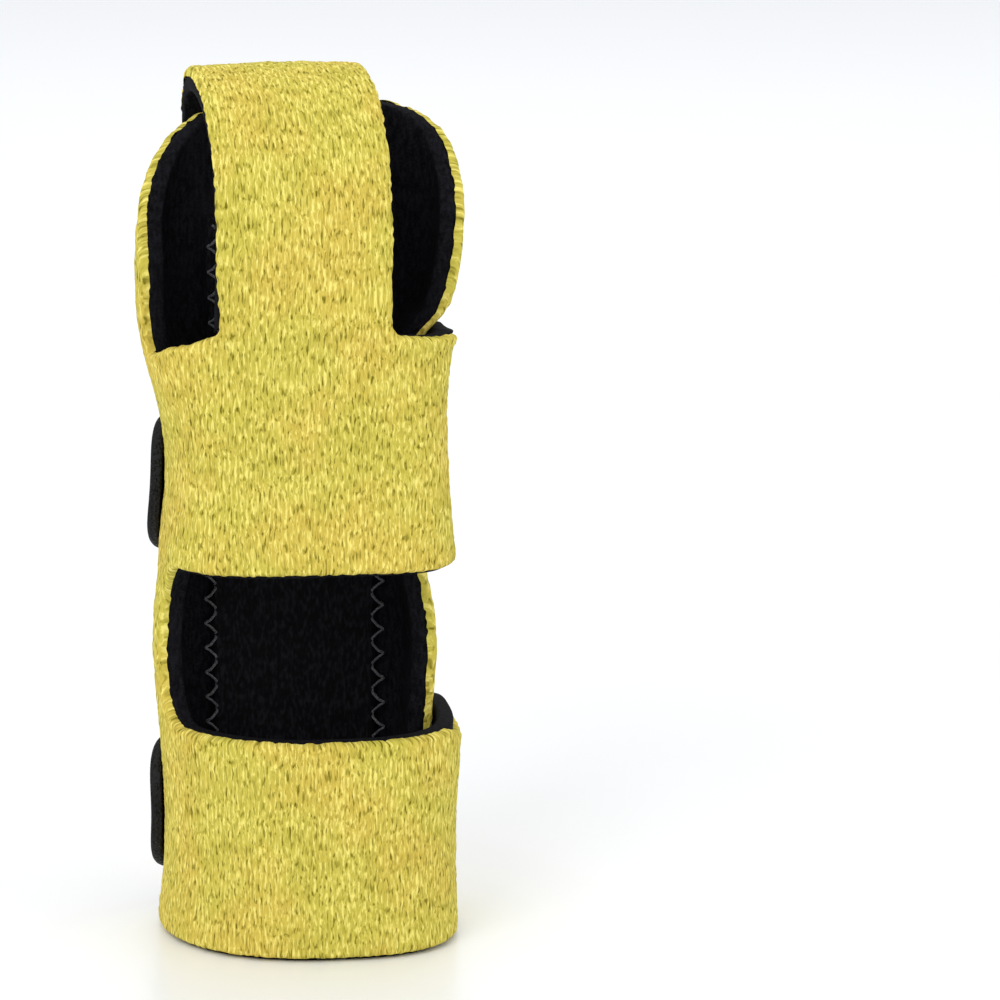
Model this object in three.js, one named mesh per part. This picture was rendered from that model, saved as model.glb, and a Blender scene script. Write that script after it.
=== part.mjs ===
// A finger splint: a soft sleeve of knitted loop fabric on a foam lining, standing on its
// lower band. A trough-shaped back panel ends in a round cupped head. Two bands leave the
// panel's left edge, cross the front, turn round the right side outside the panel and run
// over the back to their hook tabs. A tip strap rises from the upper band, folds over the
// head and hooks on to the back of it.
// Millimetres, +X to the wearer's right in the picture, +Y to the back, +Z up.
import * as THREE from "three";

// Laminate and clearances
const FABRIC = 0.8; // loop fabric outside
const LINING = 1.3; // foam inside
const SEAT = 0.3; // gap between pieces that touch
const HOOK = 1.1; // thickness of a hook tab
const POCKET = 0.8; // stay pocket on the lining
const REVEAL = 0.3; // lining left showing below the fabric of a band

// Heights, from the foot up to the top of the folded strap
const HEIGHT = 85.2;
const LOWER_BAND = 0.257 * HEIGHT;
const WINDOW = 0.1854 * HEIGHT;
const UPPER_BAND = 0.2617 * HEIGHT;
const HEAD = 0.2512 * HEIGHT;

// Girth of the panel, outside its fabric
const PANEL_WIDTH = 27.4;
const FRONT_DEPTH = 12.2; // widest line to the front
const BACK_DEPTH = 7.4; // widest line to the back

// Bands, tabs and strap
const STRAP_WIDTH = 16.8;
const STRAP_CENTRE = -0.6; // from the panel's middle
const STRAP_FILLET = 2.2; // where the strap leaves the band
const LEFT_SHOULDER_DROP = 1.4; // band's top edge falls by this towards each side
const RIGHT_SHOULDER_DROP = 0.4;
const WINDOW_CORNER_LOW = 4.8;
const WINDOW_CORNER_HIGH = 2.4;
const TAB_HEIGHT = 14;
const TAB_CORNER = 9; // length of a tab's rounded end
const TAB_LAP = 5; // length sewn under the band's end
const TAB_RAMP = 6.5; // length over which the band rises on to its tab
const UPPER_TAB_RISE = -4.9; // the upper band's back run slopes down to its tab
const LOWER_TAB_RISE = 0.3;
const PATCH_HEIGHT = 13; // hook patch under the strap's end
const PATCH_MARGIN = 1.4;

// Stay pocket
const POCKET_WIDTH = 17;
const POCKET_CENTRE = -0.2;
const POCKET_FOOT = 3; // above the foot
const POCKET_TOP = 11; // below the head's rim

// Turns round the sleeve in degrees: 0 right, 90 back, 180 left, 270 front, 360 right again
const BACK_TURN = 90;
const LEFT_TURN = 180;
const FRONT_TURN = 270;
const FULL_TURN = 360;
const EDGE_TURN = 9; // each edge of the panel comes this far to the front
const LAP_TURN = 332; // bands lie a full layer outside from here
const END_TURN = 474; // cut end of a band, over its hook tab
const TIP_TURN = 534; // tip of a hook tab
const HEAD_TURN = 108; // half turn of the rounded rim
const RIM_LEFT = 2; // exponent of the rim's outline on each side: 2 is an ellipse
const RIM_RIGHT = 2.7;

const LAMINATE = LINING + SEAT + FABRIC;
const LAYER = LAMINATE + SEAT;
const PANEL_FIRST = -EDGE_TURN;
const PANEL_LAST = LEFT_TURN + EDGE_TURN;
const LOWER_TOP = LOWER_BAND;
const UPPER_FOOT = LOWER_TOP + WINDOW;
const UPPER_TOP = UPPER_FOOT + UPPER_BAND;
const RIM = UPPER_TOP + HEAD;
const RIM_ROOT = UPPER_TOP - 0.12 * HEAD;

// Sections up the sleeve: height, then the columns. Left and right are shares of half the
// panel's width, front and back of the named depths. The corners' roundness is 2 for an
// ellipse, more is squarer.
const COLUMNS = ["left", "right", "front", "back", "leftCorner", "rightCorner", "rear"];
const SECTIONS = [
  [0, 1.05, 0.895, 1, 1, 2.1, 3, 3.1],
  [0.5 * LOWER_BAND, 0.985, 0.885, 1, 1, 2.1, 3, 3.1],
  [LOWER_TOP, 1.03, 0.93, 1, 1, 2.1, 3, 3.1],
  [LOWER_TOP + 0.5 * WINDOW, 1.05, 0.955, 0.94, 1, 2.5, 3.3, 3.1],
  [UPPER_FOOT, 1, 0.865, 0.83, 1, 3.3, 4.5, 3.1],
  [UPPER_FOOT + 0.5 * UPPER_BAND, 0.95, 0.815, 0.8, 1, 3.3, 4.5, 3.1],
  [UPPER_TOP - 0.04 * UPPER_BAND, 1.105, 0.855, 0.8, 1.02, 3, 4.5, 2.9],
  [RIM_ROOT + 0.24 * HEAD, 1.135, 1.06, 0.82, 1.03, 2.8, 3.5, 2.9],
  [UPPER_TOP + 0.5 * HEAD, 1.12, 1.18, 0.88, 1.06, 2.5, 2.5, 2.7],
  [RIM, 1, 1.135, 0.88, 1.08, 2.4, 2.4, 2.7],
].map(([at, ...shares]) => {
  const named = COLUMNS.map((column, i) => [column, shares[i]]);
  return { at, ...Object.fromEntries(named) };
});

// Side view of the strap's outer face. Reach runs from the band's front to the back run,
// rise from the strap's foot to the crown. Bow is how far the edges curl in and drift how
// far the strap stands to the left, both as shares of its width.
const STRAP_PATH = [
  { reach: 0, rise: 0, bow: 0.05, drift: 0 },
  { reach: 0.025, rise: 0.38, bow: 0.04, drift: 0 },
  { reach: 0.13, rise: 0.7, bow: 0.03, drift: 0 },
  { reach: 0.36, rise: 0.925, bow: 0.02, drift: 0.015 },
  { reach: 0.63, rise: 1, bow: 0.015, drift: 0.035 },
  { reach: 0.89, rise: 0.955, bow: 0.02, drift: 0.05 },
  { reach: 1, rise: 0.79, bow: 0.03, drift: 0.055 },
  { reach: 1.01, rise: 0.48, bow: 0.035, drift: 0.055 },
  { reach: 1.005, rise: 0.12, bow: 0.035, drift: 0.055 },
];

const { clamp, degToRad, lerp, radToDeg, smoothstep } = THREE.MathUtils;

// Smooth value of one column of a table of sections at height z
function section(z, column) {
  const last = SECTIONS.length - 1;
  let i = 0;
  while (i < last - 1 && z > SECTIONS[i + 1].at) i += 1;
  const slope = (k) => {
    const below = SECTIONS[Math.max(k - 1, 0)];
    const above = SECTIONS[Math.min(k + 1, last)];
    return (above[column] - below[column]) / (above.at - below.at);
  };
  const span = SECTIONS[i + 1].at - SECTIONS[i].at;
  const t = clamp((z - SECTIONS[i].at) / span, 0, 1);
  const start = (1 + 2 * t) * (1 - t) ** 2 * SECTIONS[i][column];
  const end = t ** 2 * (3 - 2 * t) * SECTIONS[i + 1][column];
  const bend = t * (1 - t) ** 2 * slope(i) - t ** 2 * (1 - t) * slope(i + 1);
  return start + end + bend * span;
}

// How far a turn lies outside the panel's own course: nothing on the panel, one layer past
// the right edge, and the hook tab as well under the band's end
function lift(turn) {
  const tabStart = END_TURN - turnOf(TAB_LAP);
  const layer = LAYER * smoothstep(turn, PANEL_LAST, LAP_TURN);
  const tab = (HOOK + SEAT) * smoothstep(turn, tabStart - turnOf(TAB_RAMP), tabStart);
  return layer + tab;
}

// Turn in degrees that a length along the sleeve takes
function turnOf(length) {
  return radToDeg(length / (PANEL_WIDTH / 2));
}

// Point on the sleeve: depth is measured outwards from the lining's inner face, and raised
// is added outside the course of the panel
function onSleeve(turn, z, depth, raised) {
  const c = Math.cos(degToRad(turn));
  const s = Math.sin(degToRad(turn));
  const grow = depth - LAMINATE + raised;
  const halfWidth = (section(z, c < 0 ? "left" : "right") * PANEL_WIDTH) / 2 + grow;
  const atBack = s > 0;
  const halfDepth = atBack
    ? section(z, "back") * BACK_DEPTH + grow
    : section(z, "front") * FRONT_DEPTH + grow;
  const roundness = atBack ? section(z, "rear") : section(z, c < 0 ? "leftCorner" : "rightCorner");
  const x = Math.sign(c) * halfWidth * Math.abs(c) ** (2 / roundness);
  const y = Math.sign(s) * halfDepth * Math.abs(s) ** (2 / roundness);
  return new THREE.Vector3(x, y, z);
}

// Closed wall over a grid. place(column, row, side) gives a point; side is 0 on the inner
// face and 1 on the outer one. Columns run anticlockwise seen from outside, rows run up.
function wall(name, material, columns, rows, place) {
  const across = columns.length;
  const up = rows.length;
  const points = [];
  for (const side of [0, 1]) {
    for (const column of columns) {
      for (const row of rows) points.push(...place(column, row, side).toArray());
    }
  }
  const at = (side, i, j) => (side * across + i) * up + j;
  const faces = [];
  const quad = (a, b, c, d) => faces.push(a, b, c, a, c, d);
  for (let i = 0; i < across - 1; i += 1) {
    for (let j = 0; j < up - 1; j += 1) {
      quad(at(1, i, j), at(1, i + 1, j), at(1, i + 1, j + 1), at(1, i, j + 1));
      quad(at(0, i, j), at(0, i, j + 1), at(0, i + 1, j + 1), at(0, i + 1, j));
    }
    quad(at(0, i, 0), at(0, i + 1, 0), at(1, i + 1, 0), at(1, i, 0));
    quad(at(0, i, up - 1), at(1, i, up - 1), at(1, i + 1, up - 1), at(0, i + 1, up - 1));
  }
  for (let j = 0; j < up - 1; j += 1) {
    quad(at(0, 0, j), at(1, 0, j), at(1, 0, j + 1), at(0, 0, j + 1));
    const last = across - 1;
    quad(at(0, last, j), at(0, last, j + 1), at(1, last, j + 1), at(1, last, j));
  }
  const geometry = new THREE.BufferGeometry();
  geometry.setAttribute("position", new THREE.Float32BufferAttribute(points, 3));
  geometry.setIndex(faces);
  geometry.computeVertexNormals();
  const mesh = new THREE.Mesh(geometry, material);
  mesh.name = name;
  return mesh;
}

// Even steps from first to last, both included
function steps(first, last, count) {
  return Array.from({ length: count + 1 }, (_, i) => lerp(first, last, i / count));
}

const LAYERS = {
  fabric: { from: LINING + SEAT, to: LAMINATE, reveal: REVEAL },
  lining: { from: 0, to: LINING, reveal: 0 },
};

function finish(name, color, roughness) {
  return new THREE.MeshStandardMaterial({ name, color, roughness, metalness: 0 });
}

const FINISHES = {
  fabric: finish("loop_fabric", 0xdcc84f, 0.95),
  lining: finish("foam_lining", 0x121216, 0.85),
  hook: finish("hook_tape", 0x0d0d10, 0.6),
  pocket: finish("pocket_cloth", 0x15151a, 0.8),
};

// Back panel

// Height of the panel's upper outline: the round head, down to the panel's two edges
function rimHeight(turn) {
  const away = Math.min(Math.abs(turn - BACK_TURN) / HEAD_TURN, 1);
  const round = turn > BACK_TURN ? RIM_LEFT : RIM_RIGHT;
  return RIM_ROOT + (RIM - RIM_ROOT) * (1 - away ** round) ** (1 / round);
}

function backPanel(kind) {
  const { from, to, reveal } = LAYERS[kind];
  const body = steps(0, 1, 16).map((share) => ({ head: false, share }));
  const head = steps(0, 1, 6).slice(1).map((share) => ({ head: true, share }));
  const place = (turn, row, side) => {
    const z = row.head
      ? lerp(UPPER_TOP, rimHeight(turn), row.share)
      : lerp(reveal, UPPER_TOP, row.share);
    return onSleeve(turn, z, side ? to : from, 0);
  };
  const turns = steps(PANEL_FIRST, PANEL_LAST, 24);
  return wall(`back_panel_${kind}`, FINISHES[kind], turns, [...body, ...head], place);
}

// Turn at which the lining's face stands at x on the back, at height z
function turnAcross(x, z) {
  const halfWidth = (section(z, x < 0 ? "left" : "right") * PANEL_WIDTH) / 2 - LAMINATE;
  const share = Math.min(Math.abs(x) / halfWidth, 1);
  const side = radToDeg(Math.acos(share ** (section(z, "rear") / 2)));
  return BACK_TURN - Math.sign(x) * (BACK_TURN - side);
}

function stayPocket() {
  const place = (x, z, side) => onSleeve(turnAcross(x, z), z, (side - 1) * POCKET - SEAT, 0);
  const across = steps(POCKET_CENTRE + POCKET_WIDTH / 2, POCKET_CENTRE - POCKET_WIDTH / 2, 8);
  return wall("stay_pocket", FINISHES.pocket, across, steps(POCKET_FOOT, RIM - POCKET_TOP, 9), place);
}

// Bands

// Rise of a round inside corner of the given radius, at a distance from where it starts
function corner(distance, radius) {
  const inside = clamp(distance, 0, radius);
  return radius - Math.sqrt(radius ** 2 - (radius - inside) ** 2);
}

// Share of the back run covered: 0 on the front and right, 1 at the band's cut end
function backRun(turn) {
  return smoothstep(turn, FULL_TURN, END_TURN);
}

// Upper edge of the upper band: shoulders, and round corners up to the strap
function shoulder(turn) {
  const x = onSleeve(turn, UPPER_TOP, LAMINATE, lift(turn)).x;
  const inFront = turn < FULL_TURN;
  const outside = Math.abs(x - STRAP_CENTRE) - STRAP_WIDTH / 2;
  const drop = x < STRAP_CENTRE && inFront ? LEFT_SHOULDER_DROP : RIGHT_SHOULDER_DROP;
  const fall = drop * smoothstep(outside, 0, (PANEL_WIDTH - STRAP_WIDTH) / 2);
  return UPPER_TOP - (inFront ? fall - corner(outside, STRAP_FILLET) : drop);
}

const BANDS = {
  lower: {
    foot: () => 0,
    top: (turn) => LOWER_TOP + corner((turn - PANEL_LAST) / turnOf(1), WINDOW_CORNER_LOW),
    middle: LOWER_TOP / 2 + LOWER_TAB_RISE,
  },
  upper: {
    foot: (turn) => UPPER_FOOT - corner((turn - PANEL_LAST) / turnOf(1), WINDOW_CORNER_HIGH),
    top: shoulder,
    middle: (UPPER_FOOT + UPPER_TOP) / 2 + UPPER_TAB_RISE,
  },
};

function band(which, kind) {
  const { foot, top, middle } = BANDS[which];
  const { from, to, reveal } = LAYERS[kind];
  const endHalf = TAB_HEIGHT / 2 + SEAT;
  const place = (turn, share, side) => {
    const run = backRun(turn);
    const low = lerp(foot(turn), middle - endHalf, run) + reveal;
    const high = lerp(top(turn), middle + endHalf, run);
    return onSleeve(turn, lerp(low, high, share), side ? to : from, lift(turn));
  };
  const start = PANEL_LAST + turnOf(SEAT);
  const turns = [
    ...steps(start, start + turnOf(WINDOW_CORNER_LOW), 5),
    ...steps(start + turnOf(WINDOW_CORNER_LOW), LAP_TURN, 21).slice(1),
    ...steps(LAP_TURN, END_TURN, 14).slice(1),
  ];
  return wall(`${which}_band_${kind}`, FINISHES[kind], turns, steps(0, 1, 6), place);
}

function hookTab(which) {
  const { middle } = BANDS[which];
  const square = TIP_TURN - turnOf(TAB_CORNER);
  const start = END_TURN - turnOf(TAB_LAP);
  const half = (turn) => {
    const along = clamp((turn - square) / (TIP_TURN - square), 0, 1);
    return (TAB_HEIGHT / 2) * Math.sqrt(1 - along ** 2);
  };
  const place = (turn, share, side) => {
    const z = middle + (2 * share - 1) * half(turn);
    return onSleeve(turn, z, LAMINATE, SEAT + side * HOOK);
  };
  const tip = steps(0, 0.97, 7).map((share) => lerp(square, TIP_TURN, Math.sin(share * (Math.PI / 2))));
  const turns = [...steps(start, square, 7).slice(0, -1), ...tip];
  return wall(`${which}_hook_tab`, FINISHES.hook, turns, steps(0, 1, 4), place);
}

// Tip strap

const STRAP_FOOT = UPPER_TOP + STRAP_FILLET + SEAT;
const BAND_FRONT = onSleeve(FRONT_TURN, UPPER_TOP, LAMINATE, lift(FRONT_TURN)).y;
const PATCH_FACE = onSleeve(BACK_TURN, RIM, LAMINATE, SEAT).y;
const BACK_RUN = PATCH_FACE + HOOK + SEAT + LAMINATE;

const strapCurve = new THREE.CatmullRomCurve3(
  STRAP_PATH.map(({ reach, rise }) => new THREE.Vector3(
    0, lerp(BAND_FRONT, BACK_RUN, reach), lerp(STRAP_FOOT, HEIGHT, rise))),
  false, "centripetal");

// Curl or drift of the strap at a share of its length
function strapShape(share, column) {
  const place = strapCurve.getUtoTmapping(share) * (STRAP_PATH.length - 1);
  const row = Math.min(Math.floor(place), STRAP_PATH.length - 2);
  return STRAP_WIDTH * lerp(STRAP_PATH[row][column], STRAP_PATH[row + 1][column], place - row);
}

// Point of the strap: across from -1 to 1, along from 0 at its foot to 1 at its end, depth
// inwards from the outer face
function onStrap(across, along, depth, width) {
  const point = strapCurve.getPointAt(along);
  const way = strapCurve.getTangentAt(along);
  const out = new THREE.Vector3(0, -way.z, way.y);
  point.addScaledVector(out, -depth - strapShape(along, "bow") * across ** 2);
  point.x = STRAP_CENTRE - strapShape(along, "drift") + (across * width) / 2;
  return point;
}

function tipStrap(kind) {
  const { from, to } = LAYERS[kind];
  const place = (across, along, side) => {
    return onStrap(across, along, LAMINATE - (side ? to : from), STRAP_WIDTH);
  };
  return wall(`tip_strap_${kind}`, FINISHES[kind], steps(-1, 1, 6), steps(0, 1, 28), place);
}

function strapHookPatch() {
  const first = 1 - (PATCH_HEIGHT + PATCH_MARGIN) / strapCurve.getLength();
  const last = 1 - PATCH_MARGIN / strapCurve.getLength();
  const place = (across, along, side) => {
    const depth = LAMINATE + SEAT + (1 - side) * HOOK;
    return onStrap(across, along, depth, STRAP_WIDTH - 2 * PATCH_MARGIN);
  };
  return wall("strap_hook_patch", FINISHES.hook, steps(-1, 1, 6), steps(first, last, 5), place);
}

const sleeve = new THREE.Group();
for (const kind of Object.keys(LAYERS)) {
  sleeve.add(backPanel(kind), band("lower", kind), band("upper", kind), tipStrap(kind));
}
sleeve.add(stayPocket(), hookTab("lower"), hookTab("upper"), strapHookPatch());

// The splint stands centred over its own foot
const box = new THREE.Box3().setFromObject(sleeve);
const middle = box.getCenter(new THREE.Vector3());
sleeve.position.set(-middle.x, -middle.y, -box.min.z);

const splint = new THREE.Group();
splint.add(sleeve);

export default splint;
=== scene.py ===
from math import cos, pi, radians, sin

import bmesh
import bpy
import numpy as np
from mathutils import Matrix, Vector


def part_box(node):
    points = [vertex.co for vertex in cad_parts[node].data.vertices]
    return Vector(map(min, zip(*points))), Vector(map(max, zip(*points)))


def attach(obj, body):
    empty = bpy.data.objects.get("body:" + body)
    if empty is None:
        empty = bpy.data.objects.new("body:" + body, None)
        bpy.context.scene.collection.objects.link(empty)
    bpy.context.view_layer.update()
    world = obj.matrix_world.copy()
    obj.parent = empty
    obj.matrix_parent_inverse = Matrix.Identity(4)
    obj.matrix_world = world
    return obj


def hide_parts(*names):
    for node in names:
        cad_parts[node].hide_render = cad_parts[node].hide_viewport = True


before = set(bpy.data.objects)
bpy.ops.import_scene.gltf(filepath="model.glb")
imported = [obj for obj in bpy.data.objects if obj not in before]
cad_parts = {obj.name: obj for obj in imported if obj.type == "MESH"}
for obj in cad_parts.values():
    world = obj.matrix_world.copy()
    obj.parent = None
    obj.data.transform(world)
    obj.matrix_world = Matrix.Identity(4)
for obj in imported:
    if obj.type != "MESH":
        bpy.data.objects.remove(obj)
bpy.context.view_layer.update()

# ---- Back panel, loop fabric ----
# The trough at the back of the finger with its round cupped head, die-cut from a laminate of
# nylon loop fabric on foam. This is the fabric: brushed knitted loops that stand in wavy
# columns, bonded to the foam, with soft cut edges that pinch towards it. Sizes in millimetres.
FABRIC, LINING, SEAT, HOOK = 0.8, 1.3, 0.3, 1.1
LAMINATE = LINING + SEAT + FABRIC
LAYER = LAMINATE + SEAT
LOWER_TOP, UPPER_FOOT, UPPER_TOP, RIM, CROWN = 21.896, 37.693, 59.989, 81.392, 85.2
RIM_ROOT = 57.421
PANEL_WIDTH, FRONT_DEPTH, BACK_DEPTH = 27.4, 12.2, 7.4
PANEL_FIRST, PANEL_LAST, LAP_DONE, BAND_END, TAB_TIP = -9, 189, 332, 474, 534
TAB_LAP, TAB_HEIGHT, TAB_CORNER = 5, 14, 9
REVEAL = 0.3
EDGE_SOFT, SUNK, RAGGED = 0.45, 0.1, 0.12
BACK_TURN, HEAD_TURN = 90, 108
LEFT_DROP, RIGHT_DROP, ROOT_RISE = 1.4, 0.4, 1.1
MID_WINDOW, MID_BAND = 31, 47
PANEL_LEVEL = 45
STRAP_WIDTH, STRAP_CENTRE, STRAP_FILLET = 16.8, -0.6, 2.2
LOW_CORNER, HIGH_CORNER = 4.8, 4.6
RIM_LEFT, RIM_RIGHT = 2.0, 2.7

# Sections up the sleeve: height, then the left, right, front and back shares of the panel's
# half girth, and the squareness of the left, right and rear corners
SECTIONS = np.array([
    (0.0, 1.05, 0.895, 1, 1, 2.1, 3, 3.1),
    (10.95, 0.985, 0.885, 1, 1, 2.1, 3, 3.1),
    (21.9, 1.03, 0.93, 1, 1, 2.1, 3, 3.1),
    (29.8, 1.05, 0.955, 0.94, 1, 2.5, 3.3, 3.1),
    (37.7, 1.0, 0.865, 0.83, 1, 3.3, 4.5, 3.1),
    (48.84, 0.95, 0.815, 0.8, 1, 3.3, 4.5, 3.1),
    (59.097, 1.105, 0.855, 0.8, 1.02, 3, 4.5, 2.9),
    (62.557, 1.135, 1.06, 0.82, 1.03, 2.8, 3.5, 2.9),
    (70.69, 1.12, 1.18, 0.88, 1.06, 2.5, 2.5, 2.7),
    (81.392, 1.0, 1.135, 0.88, 1.08, 2.4, 2.4, 2.7)]).T
LEVELS = np.concatenate([[0], np.arange(len(SECTIONS[0])), [len(SECTIONS[0]) - 1]])
SLOPES = ((SECTIONS[:, LEVELS[2:]] - SECTIONS[:, LEVELS[:-2]])
          / (SECTIONS[0, LEVELS[2:]] - SECTIONS[0, LEVELS[:-2]]))


def section(z, column):
    """Cubic Hermite curve through one column of the sections, level by level."""
    at, value, slope = SECTIONS[0], SECTIONS[column], SLOPES[column]
    i = np.clip(np.searchsorted(at, z, side="right") - 1, 0, len(at) - 2)
    span = at[i + 1] - at[i]
    t = np.clip((z - at[i]) / span, 0, 1)
    ends = (1 + 2 * t) * (1 - t) ** 2 * value[i] + t ** 2 * (3 - 2 * t) * value[i + 1]
    return ends + (t * (1 - t) ** 2 * slope[i] - t ** 2 * (1 - t) * slope[i + 1]) * span


def smooth(x, start, end):
    """0 before start, 1 after end, 3t^2 - 2t^3 between."""
    t = np.clip((x - start) / (end - start), 0, 1)
    return t * t * (3 - 2 * t)


def turn_of(length):
    """Turn in degrees that a length takes round the sleeve, length over half the width."""
    return length / (PANEL_WIDTH / 2) * 180 / pi


def lift(turn):
    """A layer more past the right edge, and the hook tab as well under a band's end."""
    tab_start = BAND_END - turn_of(TAB_LAP)
    tab = (HOOK + SEAT) * smooth(turn, tab_start - turn_of(1.3 * TAB_LAP), tab_start)
    return LAYER * smooth(turn, PANEL_LAST, LAP_DONE) + tab


def on_sleeve(turn, z, depth, raised=0.0):
    """Superellipse of the section at height z, a quarter at a time: x and y are the half
    width and half depth times cos and sin to the power 2 / squareness. Depth is counted
    outwards from the lining's inner face."""
    c, s = np.cos(np.radians(turn)), np.sin(np.radians(turn))
    grow = depth - LAMINATE + raised
    half_width = np.where(c < 0, section(z, 1), section(z, 2)) * PANEL_WIDTH / 2 + grow
    half_depth = grow + np.where(
        s > 0, section(z, 4) * BACK_DEPTH, section(z, 3) * FRONT_DEPTH)
    square = np.where(s > 0, section(z, 7), np.where(c < 0, section(z, 5), section(z, 6)))
    x = np.sign(c) * half_width * np.abs(c) ** (2 / square)
    y = np.sign(s) * half_depth * np.abs(s) ** (2 / square)
    return np.stack(np.broadcast_arrays(x, y, z), axis=-1)


def run_round(first, last, z, run_of):
    """Places along the girth at height z, and the turns that they lie at. Lengths are added
    up over fine steps of the outline; run_of gives the places for the whole length."""
    turn = np.linspace(first, last, 200001)
    outline = on_sleeve(turn, np.full_like(turn, z), LAMINATE, lift(turn))
    so_far = np.concatenate([[0], np.cumsum(np.linalg.norm(np.diff(outline, axis=0), axis=1))])
    run = run_of(so_far[-1])
    return run, np.interp(run, so_far, turn)


def flat_run(turns, z, anchor):
    """Length along the flat cloth for each point of a grid, level by level, with the column
    called anchor at 100 mm, so that pieces cut as one keep their columns of loops."""
    course = on_sleeve(turns[:, None], z, LAMINATE, lift(turns)[:, None])[..., :2]
    step = np.linalg.norm(np.diff(course, axis=0), axis=-1)
    so_far = np.concatenate([np.zeros((1, z.shape[1])), np.cumsum(step, axis=0)])
    return 100 + so_far - so_far[anchor]


def hills(u, v, pitch_u, pitch_v, seed):
    """Smooth random heights from -1 to 1: a table of random numbers with a cell of the
    given pitches, blended between its four corners by 3t^2 - 2t^3."""
    table = np.random.default_rng(seed).uniform(-1, 1, (256, 256))
    a, b = u / pitch_u, v / pitch_v
    i, j = np.floor(a).astype(int), np.floor(b).astype(int)
    s, t = smooth(a - i, 0, 1), smooth(b - j, 0, 1)
    i, j, i1, j1 = i % 256, j % 256, (i + 1) % 256, (j + 1) % 256
    low = table[i, j] * (1 - s) + table[i1, j] * s
    return low * (1 - t) + (table[i, j1] * (1 - s) + table[i1, j1] * s) * t


def pile(u, v):
    """Height of the loops over the cloth in millimetres: tufts in wavy columns, and the
    slower unevenness of brushed cloth."""
    wave = u + 0.35 * hills(u, v, 2.6, 4.0, 3)
    return (0.075 * hills(wave, v, 0.34, 0.62, 5) + 0.05 * hills(u, v, 1.1, 1.7, 11)
            + 0.07 * hills(u, v, 4.5, 6.5, 23))


def rows_between(low, high, stretch_low, stretch_high, pitch):
    """Heights from low to high for each column, and their distances from both edges. The
    rows crowd towards the edges on the cosine of a quarter turn."""
    crowd = EDGE_SOFT * (1 - np.cos(np.linspace(0, pi / 2, 6)[:-1]))
    inner_low, inner_high = low + EDGE_SOFT * stretch_low, high - EDGE_SOFT * stretch_high
    count = int(round(float(np.max(inner_high - inner_low)) / pitch))
    share = np.linspace(0, 1, count + 1)
    z = np.concatenate([
        low[:, None] + crowd * stretch_low[:, None],
        inner_low[:, None] * (1 - share) + inner_high[:, None] * share,
        high[:, None] - crowd[::-1] * stretch_high[:, None]], axis=1)
    from_low = (z - low[:, None]) / stretch_low[:, None]
    from_high = (high[:, None] - z) / stretch_high[:, None]
    return z, from_low, from_high


def near(distance):
    """1 on a free edge, 0 from a soft width inwards."""
    return np.clip(1 - distance / EDGE_SOFT, 0, 1)


def round_corner(inwards, beyond, radius):
    """Distance from a round inside corner, whose centre lies at the given distances."""
    return np.hypot(radius + inwards, np.maximum(beyond, 0)) - radius


def pinch(*nearness):
    """Share of the fabric's thickness left at a point: a quarter circle over the edges,
    the square root of 1 - the sum of the squares of how near each edge is."""
    total = sum(n ** 2 for n in nearness)
    return np.sqrt(np.clip(1 - total, 0, 1))


SHIFT = np.array([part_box("tip_strap_fabric")[1][0] * 1000 - STRAP_CENTRE - STRAP_WIDTH / 2,
                  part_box("back_panel_fabric")[1][1] * 1000 - SECTIONS[4].max() * BACK_DEPTH, 0])


def lay_grid(name, points, cloth=None, ring=False):
    """Mesh of four-sided faces over a grid of points (columns, rows, 3) in millimetres. A
    ring closes its rows. Cloth gives each point's place on the flat cloth, which becomes
    the UV map in units of 100 mm."""
    columns, rows = points.shape[:2]
    number = np.arange(columns * rows).reshape(columns, rows)
    if ring:
        number = np.concatenate([number, number[:, :1]], axis=1)
    faces = np.stack([number[:-1, :-1], number[1:, :-1], number[1:, 1:], number[:-1, 1:]],
                     axis=-1).reshape(-1, 4)
    mesh = bpy.data.meshes.new(name)
    mesh.vertices.add(columns * rows)
    mesh.vertices.foreach_set("co", ((points + SHIFT) * 0.001).ravel())
    mesh.loops.add(faces.size)
    mesh.loops.foreach_set("vertex_index", faces.ravel())
    mesh.polygons.add(len(faces))
    mesh.polygons.foreach_set("loop_start", np.arange(len(faces)) * 4)
    mesh.update(calc_edges=True)
    mesh.polygons.foreach_set("use_smooth", np.ones(len(faces), dtype=bool))
    if cloth is not None:
        flat = (np.stack(np.broadcast_arrays(*cloth), axis=-1) * 0.01).reshape(-1, 2)
        mesh.uv_layers.new(name="cloth").uv.foreach_set("vector", flat[faces.ravel()].ravel())
    piece = bpy.data.objects.new(name, mesh)
    bpy.context.scene.collection.objects.link(piece)
    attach(piece, "root")
    return piece


class Reading:
    """What one socket of a finish gives. Sums of readings and numbers add Math nodes."""

    def __init__(self, finish, socket):
        self.finish = finish
        self.socket = socket

    def maths(self, operation, *values):
        return self.finish.maths(operation, *values)

    def __add__(self, other):
        return self.maths("ADD", self, other)

    def __sub__(self, other):
        return self.maths("SUBTRACT", self, other)

    def __mul__(self, other):
        return self.maths("MULTIPLY", self, other)

    def step(self, start, end, low=0.0, high=1.0):
        """Smooth step from low at start to high at end."""
        return self.finish.add("MapRange", {"interpolation_type": "SMOOTHSTEP"},
                               {0: self, 1: start, 2: end, 3: low, 4: high})


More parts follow.
